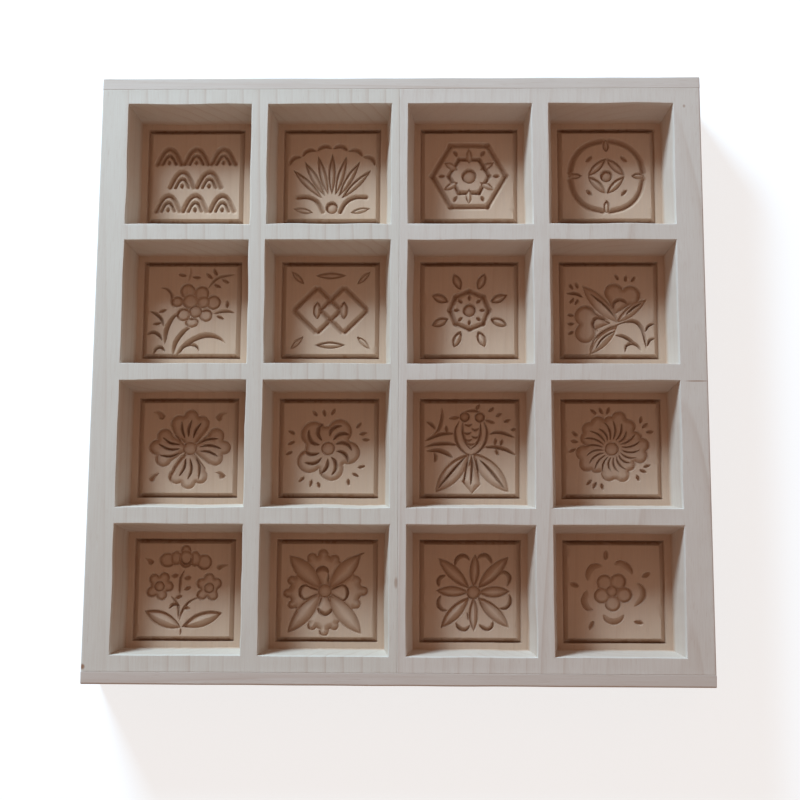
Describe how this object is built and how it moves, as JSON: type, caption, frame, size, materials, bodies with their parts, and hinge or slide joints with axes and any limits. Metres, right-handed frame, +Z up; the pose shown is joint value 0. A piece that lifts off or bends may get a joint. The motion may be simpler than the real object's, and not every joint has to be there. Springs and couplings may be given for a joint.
{
  "type": "wooden mooncake mould",
  "caption": "Square wooden mooncake mould: a board of joined planks with a grid of deep square cavities, each with a carved figure on its floor, and a strip over each end.",
  "frame": {"origin": "middle of the underside", "axes": "+X to the right across the planks, +Y along the grain to the head end, +Z up out of the cavities"},
  "size_m": [0.3, 0.3006, 0.036],
  "materials": {
    "plank_wood": "raw, hand-carved",
    "strip_wood": "raw, planed",
    "dowel_wood": "turned",
    "pin_bamboo": "split and shaved"
  },
  "bodies": {
    "root": {"left_plank": "plank_wood", "right_plank": "plank_wood", "head_end_strip": "strip_wood", "foot_end_strip": "strip_wood", "seam_dowel_1": "dowel_wood", "seam_dowel_2": "dowel_wood", "seam_dowel_3": "dowel_wood", "seam_dowel_4": "dowel_wood", "head_strip_pin_1": "pin_bamboo", "head_strip_pin_2": "pin_bamboo", "head_strip_pin_3": "pin_bamboo", "head_strip_pin_4": "pin_bamboo", "head_strip_pin_5": "pin_bamboo", "head_strip_pin_6": "pin_bamboo", "foot_strip_pin_1": "pin_bamboo", "foot_strip_pin_2": "pin_bamboo", "foot_strip_pin_3": "pin_bamboo", "foot_strip_pin_4": "pin_bamboo", "foot_strip_pin_5": "pin_bamboo", "foot_strip_pin_6": "pin_bamboo"}
  },
  "joints": []
}
